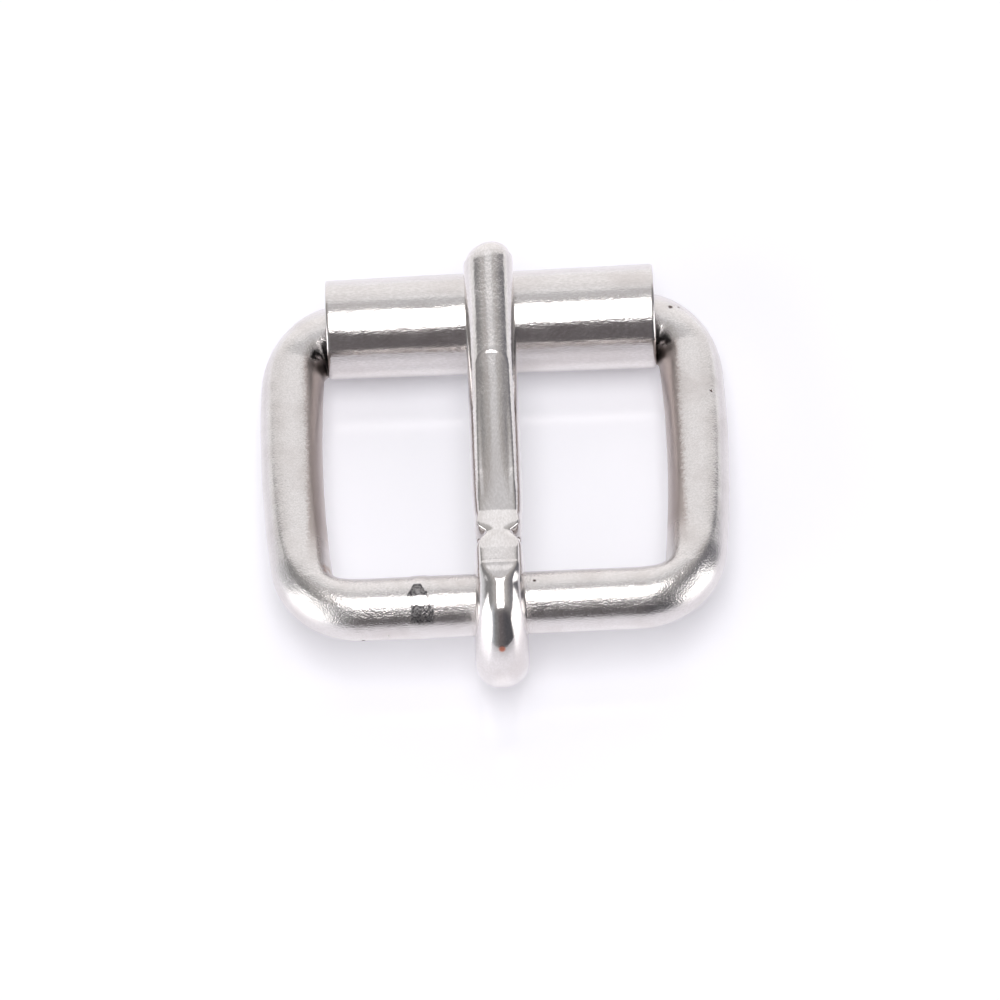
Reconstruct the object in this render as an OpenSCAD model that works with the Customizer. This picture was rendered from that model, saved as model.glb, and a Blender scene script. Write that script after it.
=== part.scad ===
// Roller buckle for a 25 mm strap: a bent wire frame whose ends are butt welded in the near
// bar, a tube roller that turns on the far bar, and a wire prong looped round the near bar.
// The buckle lies as it rests on a table: on its roller and on the bottom of the prong's loop.

/* [Frame] */
// Diameter of the frame's wire
wire_d = 4.5; // [4.2:0.1:4.6]
// Clear width between the two arms at their widest
inner_w = 25; // [24.5:0.5:28]
// Clear length from the near bar to the far bar
inner_l = 21.05; // [20.8:0.05:22]
// Bend radius of the near corners, at the wire's centre
near_r = 4.35; // [4:0.05:4.8]
// How far the near corner turns the wire before the long arm starts, in degrees
near_turn = 84; // [82:0.5:86]
// Radius of the slight outward bow of each arm
arm_r = 105; // [95:5:150]
// Bend radius of the far corners, at the wire's centre
far_r = 6.4; // [6:0.1:6.7]
// Direction of the wire where it enters the roller, in degrees from the near bar
throat_turn = 143; // [140:0.5:145]
// Bend radius of the wire inside the roller's ends
throat_r = 3.6; // [3.4:0.1:3.8]
// Depth of the flat pressed into the top of each arm
flat_depth = 0.35; // [0.1:0.05:0.5]
// Reach of the arm's flat each way from its middle, where it fades out
flat_reach = 11; // [9:0.5:12]

/* [Weld] */
// Width of the weld seam round the near bar
weld_w = 1.3; // [0.8:0.1:2]
// How proud the weld seam stands
weld_proud = 0.05; // [0.03:0.01:0.08]
// Distance of the weld seam to the left of the middle
weld_x = 5.7; // [4:0.1:7]

/* [Roller] */
// Outer diameter of the roller
roller_d = 7.5; // [7.4:0.1:7.8]
// Thickness of the roller's sheet
roller_wall = 0.28; // [0.2:0.02:0.4]
// Length of the roller
roller_l = 23.7; // [22:0.1:24]
// Bevel round both of the roller's rims
rim_bevel = 0.1; // [0.04:0.01:0.15]
// How far the far bar's centre lies below the roller's
bar_drop = 0.87; // [0.5:0.01:0.95]
// How far the far bar's centre lies beyond the roller's
bar_reach = 0.43; // [0.2:0.01:0.8]

/* [Prong] */
// Diameter of the prong's wire
prong_d = 3.62; // [3.4:0.02:3.8]
// Gap between the near bar and the prong's loop
loop_gap = 0.2; // [0.1:0.05:0.3]
// Gap between the prong and the roller under it
rest_gap = 0.06; // [0.05:0.01:0.2]
// How far the prong's straight side reaches past the middle of the roller
tip_reach = 1.4; // [0.5:0.1:2]
// Radius of the round nose, a little under the wire's so that an edge shows
nose_r = 1.76; // [1.6:0.01:1.79]
// How far the nose's centre is set back from the end of the straight side
nose_set = 0.3; // [0.1:0.05:0.5]
// Depth of the flat pressed into the prong's top
panel_depth = 0.3; // [0.1:0.05:0.5]
// Length of that flat
panel_l = 13.4; // [8:0.2:14]
// Distance of the flat's near end from the hinge
panel_start = 4.3; // [4:0.1:5]
// Distance of the pinched waist from the hinge
waist_y = 2.75; // [2.4:0.05:3]
// Width left at the waist
waist_w = 1.8; // [1.4:0.1:2.6]
// Radius of the two notches that make the waist
notch_r = 1.3; // [0.8:0.1:1.4]
// Depth of those notches from the prong's top
notch_depth = 2.5; // [1:0.1:2.8]
// Place of the prong along the near bar
prong_x = 0.1; // [-3:0.1:7]

/* [Hidden] */
$fn = 96;
wire_r = wire_d / 2;
prong_r = prong_d / 2;
roller_r = roller_d / 2;
// The frame's centre line: half of the near bar, near corner, arm, far corner, throat, far bar
half_w = (inner_w + wire_d) / 2;
full_l = inner_l + wire_d;
near_half = half_w - near_r * sin(near_turn) - arm_r * (1 - sin(near_turn));
arm_turn = acos((near_r * (1 - cos(near_turn)) + arm_r * cos(near_turn)
    - far_r * cos(throat_turn) + throat_r * (cos(throat_turn) + 1) - full_l) / (arm_r - far_r));
near_c = [near_half, near_r];
arm_c = near_c + (near_r - arm_r) * [sin(near_turn), -cos(near_turn)];
far_c = arm_c + (arm_r - far_r) * [sin(arm_turn), -cos(arm_turn)];
throat_c = far_c + (far_r - throat_r) * [sin(throat_turn), -cos(throat_turn)];
far_half = throat_c[0];
// The wire's stretches lap into each other by this length, with this difference of diameter
lap_l = 0.1;
lap_step = 0.02;
// The frame leans on the roller: its near bar is held up by the prong's loop
loop_r = wire_r + loop_gap + prong_r;
bar_z = loop_r + prong_r;
far_z = roller_r - bar_drop;
frame_tilt = asin((bar_z - far_z) / full_l);
roller_y = full_l * cos(frame_tilt) - bar_reach;
// The flats on the arms are the top of one long cylinder across the frame
flat_r = flat_reach * flat_reach / (2 * flat_depth);
flat_y = full_l / 2;
// The prong turns on the near bar until its straight side clears the roller by rest_gap
reach_r = sqrt(roller_y * roller_y + pow(bar_z - roller_r, 2));
reach_a = atan((bar_z - roller_r) / roller_y);
prong_tilt = asin((roller_r + prong_r + rest_gap - loop_r) / reach_r) - reach_a;
shank_l = roller_y + tip_reach;
// The loop's tail runs up to the underside of the straight side and is cut level there
tail_gap = 0.15;
tail_turn = 320;
// The origin is at the middle of the buckle's outline, on the table
origin_y = (roller_y + roller_r - bar_z) / 2;
big = 60;

// A stretch of bent wire, from heading a to heading b round the centre c. One that laps runs a
// little way into its neighbours, and is a hair thinner so that its ends lie inside them.
module bend(c, r, a, b, laps) {
    more = laps ? lap_l / r * 180 / PI : 0;
    translate([c[0], c[1], 0]) rotate([0, 0, a - 90 - more])
        rotate_extrude(angle = b - a + 2 * more) translate([r, 0])
            circle(d = laps ? wire_d - lap_step : wire_d);
}

// A straight stretch of wire along X, half a length h each way from the middle
module bar(y, h, laps) {
    l = laps ? h + lap_l : h;
    translate([-l, y, 0]) rotate([0, 90, 0])
        cylinder(d = laps ? wire_d - lap_step : wire_d, h = 2 * l);
}

module half_ring() {
    bend(near_c, near_r, 0, near_turn, true);
    bend(arm_c, arm_r, near_turn, arm_turn, false);
    bend(far_c, far_r, arm_turn, throat_turn, true);
    bend(throat_c, throat_r, throat_turn, 180, false);
}

module ring() {
    bar(0, near_half, false);
    bar(full_l, far_half, true);
    half_ring();
    mirror([1, 0, 0]) half_ring();
}

module weld_seam() {
    translate([-weld_x - weld_w / 2, 0, 0]) rotate([0, 90, 0])
        cylinder(r = wire_r + weld_proud, h = weld_w);
}

// The long cylinder whose underside presses the flats into both arms
module arm_flats() {
    translate([-big / 2, flat_y, wire_r - flat_depth + flat_r]) rotate([0, 90, 0])
        cylinder(r = flat_r, h = big, $fn = 360);
}

module frame() {
    color("silver") translate([0, -origin_y, bar_z]) rotate([-frame_tilt, 0, 0]) {
        difference() {
            ring();
            arm_flats();
        }
        weld_seam();
    }
}

module roller() {
    color("gainsboro") translate([-roller_l / 2, roller_y - origin_y, roller_r]) rotate([0, 90, 0])
        difference() {
            rotate_extrude() polygon([
                [0, 0], [roller_r - rim_bevel, 0], [roller_r, rim_bevel],
                [roller_r, roller_l - rim_bevel], [roller_r - rim_bevel, roller_l], [0, roller_l]]);
            translate([0, 0, -1]) cylinder(r = roller_r - roller_wall, h = roller_l + 2);
        }
}

// The straight side of the prong, along +Y at the loop's top, with its round nose
module shank() {
    translate([0, 0, loop_r]) rotate([-90, 0, 0]) cylinder(d = prong_d, h = shank_l);
    translate([0, shank_l - nose_set, loop_r]) sphere(r = nose_r);
}

// The flat on the prong's top, with a sloped end each way
module panel_cut() {
    top = loop_r + prong_r;
    ramp = 4 * panel_depth;
    translate([-prong_r, 0, 0]) rotate([90, 0, 90]) linear_extrude(prong_d) polygon([
        [panel_start, top], [panel_start + ramp, top - panel_depth],
        [panel_start + panel_l - ramp, top - panel_depth], [panel_start + panel_l, top],
        [panel_start + panel_l, top + 1], [panel_start, top + 1]]);
}

module waist_cut() {
    for (side = [-1, 1])
        translate([side * (waist_w / 2 + notch_r), waist_y, loop_r + prong_r - notch_depth])
            cylinder(r = notch_r, h = prong_d);
}

// The loop runs from the top over the near side, round below the bar and up to the tail
module loop() {
    difference() {
        rotate([90, 0, 90]) rotate([0, 0, 90]) rotate_extrude(angle = tail_turn)
            translate([loop_r, 0]) circle(d = prong_d);
        translate([-big / 2, 0, loop_r - prong_r - tail_gap]) cube([big, big, big]);
    }
}

module prong() {
    color("lightgray") translate([prong_x, -origin_y, bar_z]) rotate([prong_tilt, 0, 0]) {
        difference() {
            shank();
            panel_cut();
            waist_cut();
        }
        loop();
    }
}

frame();
roller();
prong();
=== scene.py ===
"""A nickel plated roller buckle lying on a pale table under soft studio light.

Every length in this script is in millimetres, in the part's own frame, until a mesh is made.
"""
import math

import bpy
import numpy as np
from mathutils import Matrix, Vector


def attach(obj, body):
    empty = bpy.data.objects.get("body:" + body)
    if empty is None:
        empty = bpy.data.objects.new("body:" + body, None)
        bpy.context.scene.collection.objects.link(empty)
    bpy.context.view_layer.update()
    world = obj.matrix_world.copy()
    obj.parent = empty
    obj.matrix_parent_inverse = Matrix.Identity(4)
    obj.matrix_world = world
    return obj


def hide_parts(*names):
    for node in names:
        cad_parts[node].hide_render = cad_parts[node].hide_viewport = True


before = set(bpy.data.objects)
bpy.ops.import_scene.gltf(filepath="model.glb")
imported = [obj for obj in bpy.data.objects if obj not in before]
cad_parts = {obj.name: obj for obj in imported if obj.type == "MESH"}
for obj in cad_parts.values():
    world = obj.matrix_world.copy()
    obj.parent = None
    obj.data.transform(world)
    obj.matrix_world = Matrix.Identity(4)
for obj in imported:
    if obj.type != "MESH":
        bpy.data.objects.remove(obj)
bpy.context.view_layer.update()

MM = 0.001

# The frame's wire, as in the part
WIRE_R = 2.25
INNER_W = 25.0
NEAR_R, NEAR_TURN = 4.35, 84.0
ARM_R = 105.0
FAR_R = 6.4
THROAT_TURN, THROAT_R = 143.0, 3.6
FULL_L = 21.05 + 2 * WIRE_R

# The frame's bends as drawn: sharper at the roller, with an inner edge of its own
DRAWN_FAR_R = 2.5
DRAWN_THROAT_TURN, DRAWN_THROAT_R = 160.0, 9.0
DRAWN_BAR_Y = 24.6
INNER_NEAR_R, INNER_FAR_R = 3.1, 3.2

# The roller and the prong, as in the part
ROLLER_R, ROLLER_WALL = 3.75, 0.28
BAR_DROP, BAR_REACH = 0.87, 0.43
PRONG_R = 1.81
PRONG_X = 0.1
LOOP_GAP, REST_GAP = 0.2, 0.06
LOOP_R = WIRE_R + LOOP_GAP + PRONG_R
BAR_Z = LOOP_R + PRONG_R
FRAME_TILT = math.asin((BAR_Z - ROLLER_R + BAR_DROP) / FULL_L)
ROLLER_Y = FULL_L * math.cos(FRAME_TILT) - BAR_REACH
ORIGIN_Y = (ROLLER_Y + ROLLER_R - BAR_Z) / 2
HINGE_TO_ROLLER = math.hypot(ROLLER_Y, BAR_Z - ROLLER_R)
PRONG_TILT = (math.asin((ROLLER_R + PRONG_R + REST_GAP - LOOP_R) / HINGE_TO_ROLLER)
              - math.atan2(BAR_Z - ROLLER_R, ROLLER_Y))

# Points round a wire's section, and the spacing of the sections along it
SIDES = 104
FRAME_STEP, HIDDEN_STEP, EDGE_STEP, PRONG_STEP = 0.112, 0.6, 0.05, 0.088


def turn_x(points, angle):
    """Points turned about the X axis."""
    c, s = math.cos(angle), math.sin(angle)
    x, y, z = points[..., 0], points[..., 1], points[..., 2]
    return np.stack([x, y * c - z * s, y * s + z * c], -1)


def skin(name, rings, closed):
    """A smooth mesh through rings of points (ring, point round it, xyz), capped unless closed."""
    count, sides = rings.shape[:2]
    last = count if closed else count - 1
    a = np.arange(last)[:, None]
    b = np.arange(sides)[None, :]
    near, far = a * sides, (a + 1) % count * sides
    quads = np.stack([near + b, near + (b + 1) % sides, far + (b + 1) % sides, far + b], -1)
    verts = rings.reshape(-1, 3)
    faces = quads.reshape(-1, 4).tolist()
    if not closed:
        ends = np.array([rings[0].mean(0), rings[-1].mean(0)])
        first, second = len(verts), len(verts) + 1
        verts = np.vstack([verts, ends])
        top = (count - 1) * sides
        faces += [[(k + 1) % sides, k, first] for k in range(sides)]
        faces += [[top + k, top + (k + 1) % sides, second] for k in range(sides)]
    mesh = bpy.data.meshes.new(name)
    mesh.from_pydata((verts * MM).tolist(), [], faces)
    corners = np.array([f[:3] for f in faces])
    p, q, r = (verts[corners[:, k]] for k in range(3))
    if np.einsum("ij,ij->i", p, np.cross(q, r)).sum() < 0:
        mesh.flip_normals()
    mesh.polygons.foreach_set("use_smooth", [True] * len(mesh.polygons))
    mesh.update()
    piece = bpy.data.objects.new(name, mesh)
    bpy.context.scene.collection.objects.link(piece)
    return piece


def circle():
    """Angles round a wire's section, with their cosines and sines."""
    around = np.linspace(0, 2 * math.pi, SIDES, endpoint=False)
    return around, np.cos(around), np.sin(around)


def heading(angle):
    """Outward normal of a wire that heads at this angle, with the ring on its left."""
    return np.stack([np.sin(angle), -np.cos(angle)], -1)


def soft_min(a, b, width):
    """The smaller of a and b, with the corner between them rounded over this width."""
    d = (a - b) / width
    return np.where(d > 30, b, a - width * np.logaddexp(0, np.minimum(d, 30)))


def step(value, low, high):
    """0 below low, 1 above high and smooth between them; low may be the larger."""
    t = np.clip((value - low) / (high - low), 0, 1)
    return t * t * (3 - 2 * t)


def swell(points, size, seed):
    """A gentle unevenness of about this wavelength, from -1 to 1, at each point."""
    waves = 14
    rng = np.random.default_rng(seed)
    total = 0
    for _ in range(waves):
        wave = rng.normal(size=3)
        wave *= 2 * math.pi / (size * rng.uniform(0.7, 1.5) * np.linalg.norm(wave))
        total = total + np.sin(points @ wave + rng.uniform(0, 2 * math.pi))
    return total / (waves / 2)


def ring_path(near_r, far_r, throat_turn, throat_r, bar_y, every, hidden):
    """Half of the frame's centre line, from the middle of the near bar: points and headings.

    The points are this length apart, every, or on the far bar this one, hidden. In the bends the
    length is measured a little outside the line.
    """
    outside = 0.8
    near, throat = math.radians(NEAR_TURN), math.radians(throat_turn)
    near_half = INNER_W / 2 + WIRE_R - near_r * math.sin(near) - ARM_R * (1 - math.sin(near))
    rise = (near_r * (1 - math.cos(near)) + ARM_R * math.cos(near) - far_r * math.cos(throat)
            + throat_r * (math.cos(throat) + 1) - bar_y)
    arm = math.acos(rise / (ARM_R - far_r))
    near_c = np.array([near_half, near_r])
    arm_c = near_c + (near_r - ARM_R) * heading(near)
    far_c = arm_c + (ARM_R - far_r) * heading(arm)
    throat_c = far_c + (far_r - throat_r) * heading(throat)
    points = [np.stack([np.arange(0, near_half, every), np.zeros(math.ceil(near_half / every))], -1)]
    headings = [np.zeros(len(points[0]))]
    for centre, radius, a, b in ((near_c, near_r, 0, near), (arm_c, ARM_R, near, arm),
                                 (far_c, far_r, arm, throat), (throat_c, throat_r, throat, math.pi)):
        count = max(2, round((radius + outside) * (b - a) / every))
        angles = np.linspace(a, b, count, endpoint=False)
        points.append(centre + radius * heading(angles))
        headings.append(angles)
    rest = np.linspace(throat_c[0], 0, round(throat_c[0] / hidden), endpoint=False)
    points.append(np.stack([rest, np.full(len(rest), bar_y)], -1))
    headings.append(np.full(len(rest), math.pi))
    return np.concatenate(points), np.concatenate(headings)


def reach(line, normals, edge):
    """Distance from each point of the line, along its normal, to an edge that runs beside it."""
    farthest = 4
    found = np.full(len(line), WIRE_R)
    for k in range(len(line)):
        away = edge - line[k]
        aside = away @ normals[k]
        ahead = away @ np.array([-normals[k][1], normals[k][0]])
        beside = (aside[:-1] > 0) & (aside[:-1] < farthest)
        hits = np.nonzero((ahead[:-1] * ahead[1:] <= 0) & beside)[0]
        if len(hits):
            j = hits[0]
            t = ahead[j] / (ahead[j] - ahead[j + 1])
            found[k] = aside[j] + t * (aside[j + 1] - aside[j])
    return found


def frame_line():
    """The frame's closed centre line: points, headings, and the wire's reach to each side."""
    drawn = (DRAWN_THROAT_TURN, DRAWN_THROAT_R, DRAWN_BAR_Y)
    line, turn = ring_path(NEAR_R, DRAWN_FAR_R, *drawn, FRAME_STEP, HIDDEN_STEP)
    outer, outer_turn = ring_path(NEAR_R, FAR_R, THROAT_TURN, THROAT_R, FULL_L, EDGE_STEP, EDGE_STEP)
    inner, inner_turn = ring_path(INNER_NEAR_R, INNER_FAR_R, *drawn, EDGE_STEP, EDGE_STEP)
    out = heading(turn)
    wide_out = reach(line, out, outer + WIRE_R * heading(outer_turn))
    wide_in = reach(line, -out, inner - WIRE_R * heading(inner_turn))
    line = np.vstack([line, [[0, DRAWN_BAR_Y]], line[1:][::-1] * [-1, 1]])
    turn = np.concatenate([turn, [math.pi], 2 * math.pi - turn[1:][::-1]])
    wide_out, wide_in = (np.concatenate([wide, [wide[-1]], wide[1:][::-1]])[:, None]
                         for wide in (wide_out, wide_in))
    return line, turn, wide_out, wide_in


def frame_piece():
    """The frame's wire, bent sharply at the roller, with its arms pressed almost flat on top."""
    worn_depth, worn_at, worn_width = 0.06, 46, 15
    press_depth, press_left_in_bend = 0.24, 0.9
    seam_x, seam_half, seam_proud = -5.7, 0.62, 0.05
    line, turn, wide_out, wide_in = frame_line()
    around, c, s = circle()
    out = heading(turn)
    near = step(line[:, 1], 7.0, 2.5)[:, None]
    worn = worn_depth * near * np.exp(-((np.degrees(around) - worn_at) / worn_width) ** 2)
    aside = np.where(c > 0, wide_out, wide_in) * c - worn * c
    x = line[:, None, 0] + out[:, None, 0] * aside
    y = line[:, None, 1] + out[:, None, 1] * aside
    z = (WIRE_R - worn) * s
    # The pressed top is nearly flat along the arms and rounder in the bends
    bent = step(np.degrees(math.pi - np.abs(turn - math.pi)), 88, 138)[:, None]
    pressed = press_depth * step(y, 1.2, 6.0) * (1 - press_left_in_bend * bent)
    arm_crown_r = 6.5 + 30 * step(y, 5.0, 1.0)
    bend_crown_r = np.where(c < 0, 5.0, 2.5)
    flat = (1 - bent) / (2 * arm_crown_r) + bent / (2 * bend_crown_r)
    crown = WIRE_R - pressed - aside ** 2 * flat
    z = np.where(pressed > 0.01, soft_min(z, crown + 0.05, 0.08), z)
    seam = np.exp(-((x - seam_x) / seam_half) ** 6) * (y < WIRE_R + 0.5)
    grow = 1 + seam_proud / WIRE_R * seam
    y, z = y * grow, z * grow
    points = turn_x(np.stack([x, y, z], -1), -FRAME_TILT) + [0, -ORIGIN_Y, BAR_Z]
    normal = np.stack([out[:, None, 0] * c, out[:, None, 1] * c, np.broadcast_to(s, x.shape)], -1)
    normal = turn_x(normal, -FRAME_TILT)
    uneven = 0.010 * swell(points, 5.0, 3) + 0.0035 * swell(points, 1.5, 4)
    points = points + normal * uneven[..., None]
    piece = skin("frame_wire", points, closed=True)
    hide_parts("frame")
    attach(piece, "frame")
    return piece


def roller_piece():
    """The roller: a tube with an even bore, a little wider at its right end, with rounded rims."""
    rim, lip = 0.11, 0.26
    left, right = -11.9, 12.08
    widening, half_length = 0.095, 12
    wall = ROLLER_WALL
    arc = np.linspace(0, math.pi / 2, 7)
    # Along the outside, round the right rim, back along the bore and round the left rim
    profile = [(x, 0.0) for x in np.linspace(left + lip, right - lip, 220)]
    profile += [(right - lip + lip * math.sin(a), rim * math.cos(a) - rim) for a in arc[1:]]
    profile += [(right - rim + rim * math.cos(a), rim - wall - rim * math.sin(a)) for a in arc]
    profile += [(x, -wall) for x in np.linspace(right - rim, left + rim, 40)[1:]]
    profile += [(left + rim - rim * math.sin(a), rim - wall - rim * math.cos(a)) for a in arc[1:]]
    profile += [(left + lip - lip * math.cos(a), rim * math.sin(a) - rim) for a in arc[:-1]]
    profile = np.array(profile)
    angles = np.linspace(0, 2 * math.pi, 168, endpoint=False)[:, None]
    x = np.broadcast_to(profile[:, 0], (len(angles), len(profile)))
    outside = 1 + profile[:, 1] / wall
    radius = ROLLER_R + profile[:, 1] + widening * (x / half_length) * outside
    points = np.stack([x, radius * np.cos(angles), radius * np.sin(angles)], -1)
    normal = np.stack([0 * x, np.cos(angles) + 0 * x, np.sin(angles) + 0 * x], -1)
    uneven = 0.006 * swell(points * [0.6, 1, 1], 4.0, 7) + 0.0018 * swell(points * [0.4, 1, 1], 1.3, 8)
    points = points + normal * uneven[..., None] + [0, ROLLER_Y - ORIGIN_Y, ROLLER_R]
    piece = skin("roller_tube", points, closed=True)
    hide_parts("roller")
    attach(piece, "roller")
    return piece


def squared(c, s, power):
    """A round section's points with the upper half squared up: power 2 leaves it round."""
    upper = s > 0
    e = 2 / power
    return (np.where(upper, np.sign(c) * np.abs(c) ** e, c), np.where(upper, np.abs(s) ** e, s))


def shank_top(x, y, z):
    """Height of the prong's straight side where it was z before its panel was pressed."""
    panel_end, corner, wall = 17.75, 1.15, 0.22
    depth = np.interp(y, [-0.6, 0.2, 1.3, 2.2, 2.75, 4.1, 4.5, 5.5, 6.7, 8.5, 11, 14, 17.9],
                      [0.20, 0.20, 0.22, 0.30, 0.36, 0.48, 0.50, 0.47, 0.41, 0.30, 0.20, 0.13, 0.09])
    bottom_r = np.interp(y, [0.0, 2.0, 4.2, 6.0, 8.0, 11.0], [12.0, 8.0, 9.0, 5.0, 2.6, 1.95])
    bottom = PRONG_R - depth - x ** 2 / (2 * bottom_r)
    past = np.maximum(y - (panel_end - corner), 0)
    edge = np.hypot(x, past) - corner
    panel = z + (np.minimum(bottom, z) - z) * step(edge, wall, -wall)
    low = soft_min(z, bottom, 0.03)
    blend = step(y, 5.0, 7.5)
    return low * (1 - blend) + panel * blend


def nose_profile():
    """The prong's blunt nose and the faint edge behind it: how far out, and the radius there."""
    nose_r, nose_l, full_r, power = 1.70, 1.86, 1.735, 2.5
    edge = 0.11
    along = np.linspace(0.03, 1, 30)
    tip_r = nose_r * np.sin(along * math.pi / 2)
    tip_y = nose_l * (1 - (tip_r / full_r) ** power) ** (1 / power)
    lip = np.linspace(0, math.pi / 2, 5)[1:]
    lip_r, lip_y = nose_r + edge * np.sin(lip), -edge * (1 - np.cos(lip))
    return np.concatenate([tip_y, lip_y + tip_y[-1]]), np.concatenate([tip_r, lip_r])


def straight_rings(c, s):
    """Sections of the prong from its nose to the hinge: straight side, panel and pinch."""
    pinch_y, pinch_depth, pinch_far, pinch_near, pinch_power = 2.72, 0.42, 0.46, 0.52, 1.8
    end = ROLLER_Y + 1.18
    head_y, head_r = nose_profile()
    shank_y = np.linspace(end - 0.12, 0, round(end / PRONG_STEP), endpoint=False)
    y = np.concatenate([head_y + end, shank_y])[:, None]
    radius = np.concatenate([head_r, np.full(len(shank_y), PRONG_R)])[:, None]
    x, z = squared(c, s, 2 + step(y, 4.6, 3.2))
    x, z = radius * x, radius * z
    body = y[:, 0] < 18.5
    top = shank_top(x[body], np.broadcast_to(y[body], x[body].shape), z[body])
    z[body] = np.where(s > 0, top, z[body])
    upper = step(z, -0.9, -0.3)
    pinch_half = np.where(y > pinch_y, pinch_far, pinch_near)
    pinch = pinch_depth * np.exp(-np.abs((y - pinch_y) / pinch_half) ** pinch_power)
    x = x * (1 - pinch * upper - 0.05 * step(y, 7.0, 3.0) * upper)
    y = y + 0.16 * x * step(y, end - 3, end) + 0 * x
    return np.stack([x, y, LOOP_R + z], -1)


def loop_rings(c, s):
    """Sections of the prong's loop, from the hinge round the near bar to its rounded end."""
    loop_turn, end_from, end_over = 302, 262, 40.3
    whole = math.radians(loop_turn)
    turns = np.linspace(0, whole, round(whole * LOOP_R / PRONG_STEP))[:, None]
    degrees = np.degrees(turns)
    wide = PRONG_R * np.interp(degrees, [0, 45, 90, 150, 230, 262, 302],
                               [1.0, 1.01, 1.06, 1.09, 1.07, 0.99, 0.95])
    thick = PRONG_R * np.interp(degrees, [0, 25, 50, 90, 302], [1.0, 0.975, 0.97, 0.99, 1.0])
    shift = np.interp(degrees, [0, 90, 180, 250, 302], [0, -0.13, -0.16, -0.08, 0])
    tip = np.sqrt(1 - (np.maximum(degrees - end_from, 0) / end_over) ** 2)
    flat = step(degrees, 17, 1)
    x, z = squared(c, s, 2 + flat)
    lift = thick * z
    crown = thick + 0.02 - 0.20 * flat - (wide * x) ** 2 / 24 * flat
    lift = np.where(s > 0, soft_min(lift, crown, 0.03), lift)
    x = wide * x * (1 - 0.05 * step(degrees, 40, 5) * step(lift, -0.9, -0.3))
    out = LOOP_R + lift * tip
    return np.stack([x * tip + shift, -np.sin(turns) * out, np.cos(turns) * out], -1)


def prong_piece():
    """The prong: blunt nose, straight side with its pressed panel, pinched neck and loop."""
    _, c, s = circle()
    rings = np.concatenate([straight_rings(c, s), loop_rings(c, s)])
    points = turn_x(rings, PRONG_TILT) + [PRONG_X, -ORIGIN_Y, BAR_Z]
    points[..., 0] += 0.012 * swell(points, 4.0, 12)
    points[..., 2] += 0.006 * swell(points, 3.0, 13)
    piece = skin("prong_wire", points, closed=False)
    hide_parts("prong")
    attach(piece, "prong")
    return piece


# Small pits in the frame's plating: x, y, z and radius
PITS = ((13.28, 13.57, 5.07, 0.17), (13.86, 13.59, 4.84, 0.09), (15.92, 5.83, 5.83, 0.12),
        (-9.9, -13.48, 5.51, 0.12), (2.51, -10.71, 8.24, 0.10))

# The colours of the plating, of what has marked it, and of the shade painted on it
LIGHT_NICKEL = (0.775, 0.745, 0.74)
DARK_NICKEL = (0.715, 0.685, 0.675)
DULL_NICKEL = (0.63, 0.585, 0.57)
PIT = (0.13, 0.09, 0.08)
# Painted shade for the arms' inner sides
INNER_SIDE_SHADE = (0.50, 0.44, 0.42)
# Painted shade for the near bar's back
BACK_SIDE_SHADE = (0.36, 0.32, 0.30)
# Painted shade for the gaps between the arms and the roller's ends
GAP_SHADE = (0.15, 0.12, 0.11)
CORNER_RUST = (0.42, 0.27, 0.20)
LOOP_RUST = (0.70, 0.20, 0.10)
BURNT = (0.085, 0.08, 0.085)


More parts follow.
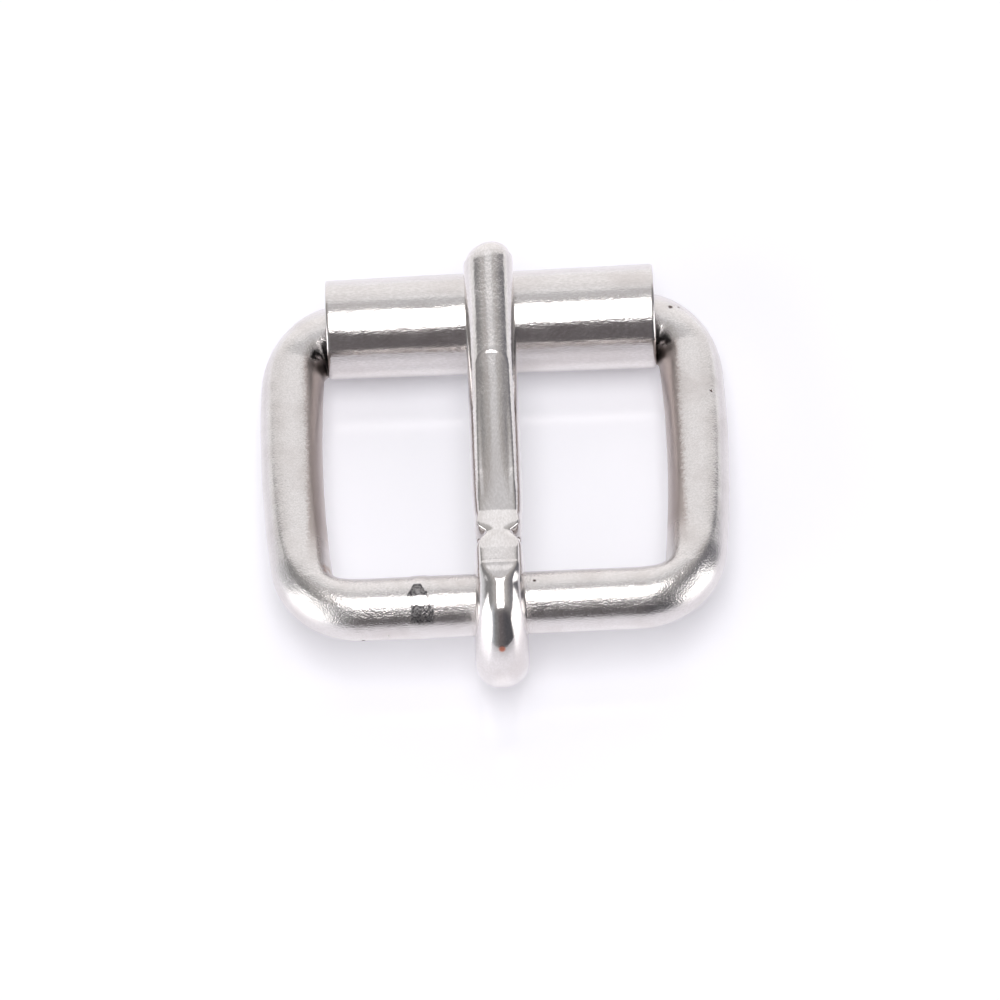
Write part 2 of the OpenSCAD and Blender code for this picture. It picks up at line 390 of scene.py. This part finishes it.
class Coat:
    """The node tree of one material, in the part's own coordinates."""

    def __init__(self, name):
        self.material = bpy.data.materials.new(name)
        self.material.use_nodes = True
        self.tree = self.material.node_tree
        self.shader = self.tree.nodes["Principled BSDF"]
        self.place = self.tree.nodes.new("ShaderNodeTexCoord").outputs["Object"]
        axes = self.tree.nodes.new("ShaderNodeSeparateXYZ")
        self.link(self.place, axes.inputs[0])
        self.x, self.y, self.z = axes.outputs

    def link(self, source, target):
        self.tree.links.new(source, target)

    def grain(self, size, detail=2.0, stretch=(1, 1, 1), shift=(0, 0, 0)):
        """Noise whose features are about this size in millimetres."""
        mapping = self.tree.nodes.new("ShaderNodeMapping")
        mapping.inputs["Location"].default_value = shift
        mapping.inputs["Scale"].default_value = [k / (size * MM) for k in stretch]
        self.link(self.place, mapping.inputs["Vector"])
        noise = self.tree.nodes.new("ShaderNodeTexNoise")
        noise.inputs["Scale"].default_value = 1.0
        noise.inputs["Detail"].default_value = detail
        self.link(mapping.outputs["Vector"], noise.inputs["Vector"])
        return noise.outputs["Fac"]

    def ramp(self, value, low, high, start=0.0, end=1.0):
        """start where the value is below low, end where it is above high, smooth between them."""
        node = self.tree.nodes.new("ShaderNodeMapRange")
        node.interpolation_type = "SMOOTHSTEP"
        self.link(value, node.inputs["Value"])
        node.inputs["From Min"].default_value = low
        node.inputs["From Max"].default_value = high
        node.inputs["To Min"].default_value = start
        node.inputs["To Max"].default_value = end
        return node.outputs["Result"]

    def rise(self, place, low, high):
        """0 before low and 1 after high, in millimetres along an axis."""
        return self.ramp(place, low * MM, high * MM)

    def fall(self, place, low, high):
        """1 before low and 0 after high, in millimetres along an axis."""
        return self.ramp(place, low * MM, high * MM, 1.0, 0.0)

    def near(self, x, y, z, inner, outer):
        """1 within the inner distance of a point and 0 beyond the outer, in millimetres."""
        node = self.tree.nodes.new("ShaderNodeVectorMath")
        node.operation = "DISTANCE"
        self.link(self.place, node.inputs[0])
        node.inputs[1].default_value = (x * MM, y * MM, z * MM)
        return self.fall(node.outputs["Value"], inner, outer)

    def calc(self, kind, a, b=0):
        """One sum on sockets or numbers."""
        node = self.tree.nodes.new("ShaderNodeMath")
        node.operation = kind
        for value, socket in ((a, node.inputs[0]), (b, node.inputs[1])):
            if isinstance(value, (int, float)):
                socket.default_value = value
            else:
                self.link(value, socket)
        return node.outputs[0]

    def product(self, first, *others):
        """All of these masks at once."""
        for other in others:
            first = self.calc("MULTIPLY", first, other)
        return first

    def without(self, mask, share):
        """1 where the mask is 0, and less by this share where it is 1."""
        return self.calc("SUBTRACT", 1.0, self.calc("MULTIPLY", mask, share))

    def mix(self, factor, a, b):
        node = self.tree.nodes.new("ShaderNodeMix")
        node.data_type = "RGBA"
        self.link(factor, node.inputs["Factor"])
        for value, name in ((a, "A"), (b, "B")):
            if isinstance(value, tuple):
                node.inputs[name].default_value = (*value, 1)
            else:
                self.link(value, node.inputs[name])
        return node.outputs["Result"]

    def bump(self, height, depth, under=None):
        """Relief of this depth in millimetres, over another relief."""
        node = self.tree.nodes.new("ShaderNodeBump")
        node.inputs["Strength"].default_value = 1.0
        node.inputs["Distance"].default_value = depth * MM
        self.link(height, node.inputs["Height"])
        if under is not None:
            self.link(under, node.inputs["Normal"])
        return node.outputs["Normal"]

    def stain_and_shade(self, mask, colour, rough):
        """Darken the surface to this colour and dull it where the mask is 1, for a real stain or for
        painted shade.
        """
        base, dull = self.shader.inputs["Base Color"], self.shader.inputs["Roughness"]
        self.link(self.mix(mask, base.links[0].from_socket, colour), base)
        more = self.calc("MULTIPLY", mask, rough)
        self.link(self.calc("MAXIMUM", dull.links[0].from_socket, more), dull)


def plating(name, smooth, relief, stretch, shift, bright=1.0, pits=(), calm=None):
    """Nickel plate over slightly uneven steel, dulled in patches.

    smooth is its roughness, relief scales its unevenness, stretch and shift place its noise and
    bright scales its colours. calm is a pair of places along Y: the finest grain is weak before
    the first and whole after the second.
    """
    coat = Coat(name)
    patches = coat.grain(2.6, 3.0, stretch, shift)
    cloud = coat.grain(0.7, 3.0, stretch, shift)
    fine = coat.grain(0.14, 3.0, stretch, shift)
    if calm:
        fine = coat.calc("MULTIPLY", fine, coat.ramp(coat.y, calm[0] * MM, calm[1] * MM, 0.3, 1.0))
    waves = coat.grain(1.6, 2.0, stretch, shift)
    salt = coat.grain(0.13, 2.0, stretch, shift)
    light, dark, dull = (tuple(bright * k for k in colour)
                         for colour in (LIGHT_NICKEL, DARK_NICKEL, DULL_NICKEL))
    colour = coat.mix(coat.ramp(salt, 0.34, 0.62), light, dark)
    colour = coat.mix(coat.ramp(patches, 0.42, 0.76, 0.0, 0.55), colour, dull)
    rough = coat.calc("ADD", coat.ramp(cloud, 0.3, 0.75, smooth - 0.03, smooth + 0.06),
                      coat.ramp(patches, 0.45, 0.8, 0.0, 0.06))
    normal = coat.bump(waves, 0.022 * relief)
    normal = coat.bump(cloud, 0.007 * relief, normal)
    normal = coat.bump(fine, 0.013 * relief, normal)
    for x, y, z, size in pits:
        spot = coat.near(x, y, z, size * 0.5, size * 1.35)
        colour = coat.mix(spot, colour, PIT)
        rough = coat.calc("MAXIMUM", rough, coat.calc("MULTIPLY", spot, 0.5))
        normal = coat.bump(coat.calc("SUBTRACT", 1.0, spot), 0.06, normal)
    coat.link(colour, coat.shader.inputs["Base Color"])
    coat.link(rough, coat.shader.inputs["Roughness"])
    coat.link(normal, coat.shader.inputs["Normal"])
    coat.shader.inputs["Metallic"].default_value = 1
    return coat


def frame_stains_and_shade(coat):
    """The frame's painted shade, darkened and dulled, on its inner sides, in the gaps at the roller's
    ends and on the near bar's back; its rust and weld marks; and the coarser grain of its near bar.
    """
    ragged = coat.calc("MULTIPLY", coat.calc("SUBTRACT", coat.grain(0.22, 3.0), 0.5), 0.7 * MM)
    off_middle = coat.calc("ABSOLUTE", coat.x)
    # Painted shade: the arms' inner sides, which face into the window, are darkened and dulled
    inner = coat.product(coat.fall(coat.calc("ADD", off_middle, ragged), 13.35, 13.85),
                         coat.rise(coat.y, -8.6, -4.5), coat.fall(coat.y, 10.0, 11.2))
    coat.stain_and_shade(inner, INNER_SIDE_SHADE, 0.33)
    # Painted shade: near black in the narrow gaps between the arms and the roller's ends
    for side in (-1, 1):
        gap_shade = coat.near(side * 12.5, 10.15, 4.1, 0.55, 1.2)
        coat.stain_and_shade(coat.calc("MULTIPLY", gap_shade, 0.9), GAP_SHADE, 0.4)
    rust = coat.product(coat.near(-12.2, -8.6, 7.2, 0.3, 0.85),
                        coat.ramp(coat.grain(0.3, 3.0), 0.38, 0.58))
    coat.stain_and_shade(rust, CORNER_RUST, 0.35)
    left = coat.ramp(coat.x, -3.0 * MM, 0.0, 1.0, 0.85)
    coarse = coat.product(coat.grain(0.11, 2.0, (1, 1, 1), (7, 3, 5)),
                          coat.fall(coat.y, -9.0, -6.0), left)
    socket = coat.shader.inputs["Normal"]
    coat.link(coat.bump(coarse, 0.024, socket.links[0].from_socket), socket)
    # Painted shade: the near bar's back, which faces into the window, is darkened and dulled where
    # shade falls
    back = coat.product(coat.rise(coat.y, -9.6, -9.2), coat.fall(coat.y, -8.0, -6.0),
                        coat.fall(off_middle, 11.0, 13.0))
    coat.stain_and_shade(back, BACK_SIDE_SHADE, 0.26)
    weld_marks(coat, coat.calc("MULTIPLY", ragged, 0.45))


def weld_marks(coat, ragged):
    """The two burnt marks of the butt weld, above and below the near bar's bright line."""
    x, y = coat.calc("ADD", coat.x, ragged), coat.calc("ADD", coat.y, ragged)
    speckle = coat.ramp(coat.grain(0.17, 2.0, (1, 1, 1), (4, 4, 4)), 0.40, 0.60)
    # The upper mark is narrow at its far end and has a paler heart
    off_middle = coat.calc("ABSOLUTE", coat.calc("ADD", x, 5.88 * MM))
    slant = coat.calc("ADD", y, coat.calc("MULTIPLY", off_middle, 1.9))
    upper = coat.product(coat.fall(slant, -10.16, -10.02), coat.rise(y, -11.62, -11.50),
                         coat.fall(y, -10.62, -10.50),
                         coat.without(coat.near(-5.85, -11.2, 8.3, 0.10, 0.34), 0.3))
    # The lower mark is square, and speckled in its right half
    speckled = coat.product(speckle, coat.rise(x, -5.75, -5.55))
    lower = coat.product(coat.rise(y, -13.30, -13.20), coat.fall(y, -12.30, -12.20),
                         coat.rise(x, -6.45, -6.36), coat.fall(x, -4.80, -4.70),
                         coat.without(speckled, 0.6))
    burnt = coat.product(coat.calc("MAXIMUM", upper, lower), coat.rise(coat.z, 6.0, 6.3),
                         coat.ramp(speckle, 0.0, 1.0, 1.0, 0.72))
    coat.stain_and_shade(burnt, BURNT, 0.45)


def loop_rust(coat):
    """The small spot of rust on the front of the prong's loop."""
    spot = coat.near(0.02, -16.58, 8.95, 0.12, 0.34)
    coat.stain_and_shade(coat.calc("MULTIPLY", spot, 0.85), LOOP_RUST, 0.3)


def grey(level):
    """A colour without a tint."""
    return (level, level, level)


# The studio as its reflections show it, painted in this order over the ground colour. Each patch
# has a colour and its edges: an axis of the direction, where the patch fades out along it and
# where it is full. A patch lies inside all of its edges.
SKY_GROUND = (0.50, 0.49, 0.48)
SKY_PATCHES = (
    # The dim right and left sides, and the dark front with its darker right and paler left
    ((0.17, 0.17, 0.19), ("x", 0.3, 0.9)),
    (grey(0.27), ("x", -0.35, -0.75)),
    ((0.17, 0.155, 0.16), ("y", -0.42, -0.72)),
    ((0.10, 0.10, 0.11), ("y", -0.40, -0.75), ("x", -0.1, 0.3)),
    (grey(0.25), ("y", -0.50, -0.75), ("x", -0.04, -0.26)),
    ((0.50, 0.54, 0.58), ("y", -0.30, -0.60), ("x", -0.30, -0.62)),
    # The white sweep behind, brighter near the table
    ((0.94, 0.93, 0.93), ("y", 0.585, 0.635)),
    ((1.10, 1.09, 1.09), ("y", 0.74, 0.90)),
    # The soft light between the sweep and the box above, and the sweep's bright middle
    ((0.69, 0.69, 0.70), ("y", 0.20, 0.30), ("y", 0.64, 0.56), ("x", -0.34, -0.08), ("x", 0.42, 0.14)),
    ((1.06, 1.06, 1.07), ("y", 0.565, 0.61), ("y", 0.76, 0.66), ("x", -0.27, -0.12), ("x", 0.27, 0.12)),
    # The sweep's low ends on both sides, and a low light on the left
    (grey(0.95), ("x", -0.68, -0.76), ("y", 0.46, 0.53), ("z", 0.32, 0.20)),
    (grey(0.95), ("x", 0.70, 0.78), ("y", 0.46, 0.53), ("z", 0.22, 0.10)),
    ((0.74, 0.76, 0.78), ("x", -0.78, -0.90), ("y", -0.1, 0.0), ("y", 0.50, 0.34), ("z", 0.42, 0.12)),
    # The soft box on the left with its dim edge, and the one on the right
    (grey(1.1), ("x", -0.50, -0.68), ("y", -0.84, -0.74), ("y", -0.40, -0.52)),
    (grey(2.6), ("x", -0.56, -0.68), ("y", -0.84, -0.70), ("y", 0.0, -0.14), ("z", 0.62, 0.50)),
    (grey(2.3), ("x", 0.64, 0.74), ("y", -0.72, -0.56), ("y", 0.12, -0.02), ("z", 0.54, 0.43)),
    # The soft box above
    (grey(4.9), ("x", -0.26, -0.14), ("x", 0.26, 0.12), ("y", -0.59, -0.48), ("y", 0.20, 0.06),
     ("z", 0.2, 0.4)),
    # Everything under the horizon
    (grey(0.9), ("z", 0.0, -0.05)),
)


class Sky:
    """A sky painted with soft patches, one over the other."""

    def __init__(self, tree, ground):
        self.tree = tree
        axes = tree.nodes.new("ShaderNodeSeparateXYZ")
        direction = tree.nodes.new("ShaderNodeTexCoord").outputs["Generated"]
        tree.links.new(direction, axes.inputs[0])
        self.axes = dict(zip("xyz", axes.outputs))
        self.ground = ground
        self.colour = None

    def ramp(self, value, out, full):
        """0 on the one side, where the patch is out, and 1 on the other, where it is full."""
        node = self.tree.nodes.new("ShaderNodeMapRange")
        node.interpolation_type = "SMOOTHSTEP"
        self.tree.links.new(value, node.inputs["Value"])
        turned = out > full
        node.inputs["From Min"].default_value = full if turned else out
        node.inputs["From Max"].default_value = out if turned else full
        node.inputs["To Min"].default_value = 1 if turned else 0
        node.inputs["To Max"].default_value = 0 if turned else 1
        return node.outputs["Result"]

    def patch(self, edges):
        """A mask that is 1 inside all these edges."""
        mask = None
        for axis, out, full in edges:
            part = self.ramp(self.axes[axis], out, full)
            if mask is not None:
                both = self.tree.nodes.new("ShaderNodeMath")
                both.operation = "MULTIPLY"
                self.tree.links.new(mask, both.inputs[0])
                self.tree.links.new(part, both.inputs[1])
                part = both.outputs[0]
            mask = part
        return mask

    def paint(self, mask, colour):
        """Lay this colour over the sky where the mask is 1."""
        mix = self.tree.nodes.new("ShaderNodeMix")
        mix.data_type = "RGBA"
        self.tree.links.new(mask, mix.inputs["Factor"])
        if self.colour is None:
            mix.inputs["A"].default_value = (*self.ground, 1)
        else:
            self.tree.links.new(self.colour, mix.inputs["A"])
        mix.inputs["B"].default_value = (*colour, 1)
        self.colour = mix.outputs["Result"]


def studio():
    """Soft boxes above and on both sides, a white sweep behind, and the dim room in front."""
    world = bpy.data.worlds.new("studio")
    bpy.context.scene.world = world
    world.use_nodes = True
    tree = world.node_tree
    sky = Sky(tree, SKY_GROUND)
    for colour, *edges in SKY_PATCHES:
        sky.paint(sky.patch(edges), colour)
    tree.links.new(sky.colour, tree.nodes["Background"].inputs["Color"])


def table():
    """The pale, slightly glossy table, with a painted pool of light round the buckle and a faint
    painted glow of its own.
    """
    bright, pale, fibre = (0.94, 0.93, 0.98), (0.89, 0.88, 0.92), (0.87, 0.86, 0.90)
    bright_r, pale_r = 50, 300
    glow, glow_strength = (0.95, 0.95, 1.0, 1), 0.16
    half = 900 * MM
    mesh = bpy.data.meshes.new("table")
    mesh.from_pydata([(-half, -half, 0), (half, -half, 0), (half, half, 0), (-half, half, 0)], [],
                     [(0, 1, 2, 3)])
    floor = bpy.data.objects.new("table", mesh)
    bpy.context.scene.collection.objects.link(floor)
    coat = Coat("table")
    # Painted light: the table is brighter within bright_r of the buckle and fades to pale by pale_r
    colour = coat.mix(coat.near(0, 0, 0, bright_r, pale_r), pale, bright)
    fibres = coat.grain(0.5, 3.0)
    colour = coat.mix(coat.ramp(fibres, 0.3, 0.8, 0.0, 0.006), colour, fibre)
    coat.link(colour, coat.shader.inputs["Base Color"])
    coat.link(coat.ramp(fibres, 0.3, 0.7, 0.17, 0.19), coat.shader.inputs["Roughness"])
    coat.link(coat.bump(fibres, 0.0004), coat.shader.inputs["Normal"])
    # Painted light: the table glows faintly, which lifts its shadows
    coat.shader.inputs["Emission Color"].default_value = glow
    coat.shader.inputs["Emission Strength"].default_value = glow_strength
    mesh.materials.append(coat.material)


def camera():
    """The photograph's view: from in front, 60 degrees up, turned a little on its axis."""
    aim = Vector((0.233, -0.929, 3.0)) * MM
    distance = 621.0 * MM
    focal_length, sensor_width = 308.2, 36
    azimuth, elevation, roll = math.radians(-0.905), math.radians(60), math.radians(-3.322)
    forward = Vector((math.sin(azimuth) * math.cos(elevation),
                      math.cos(azimuth) * math.cos(elevation), -math.sin(elevation)))
    right = Vector((math.cos(azimuth), -math.sin(azimuth), 0))
    up = right.cross(forward)
    right, up = (right * math.cos(roll) + up * math.sin(roll),
                 up * math.cos(roll) - right * math.sin(roll))
    lens = bpy.data.cameras.new("camera")
    lens.sensor_width = sensor_width
    lens.lens = focal_length
    lens.clip_start, lens.clip_end = 10 * MM, 10000 * MM
    view = bpy.data.objects.new("camera", lens)
    place = Matrix((right, up, -forward)).transposed().to_4x4()
    place.translation = aim - forward * distance
    view.matrix_world = place
    bpy.context.scene.collection.objects.link(view)
    bpy.context.scene.camera = view


camera()
studio()
table()

frame_coat = plating("frame_nickel", smooth=0.17, relief=1.0, stretch=(1, 1, 1), shift=(0, 0, 0),
                     pits=PITS)
frame_stains_and_shade(frame_coat)
frame_piece().data.materials.append(frame_coat.material)

roller_coat = plating("roller_nickel", smooth=0.13, relief=0.9, stretch=(0.45, 1, 1), shift=(3, 1, 2),
                      bright=0.97)
roller_piece().data.materials.append(roller_coat.material)

prong_coat = plating("prong_nickel", smooth=0.09, relief=0.7, stretch=(1, 0.5, 0.7), shift=(5, 2, 7),
                     bright=1.08, calm=(-8.0, -4.0))
loop_rust(prong_coat)
prong_piece().data.materials.append(prong_coat.material)

bpy.context.scene.view_settings.view_transform = "Standard"
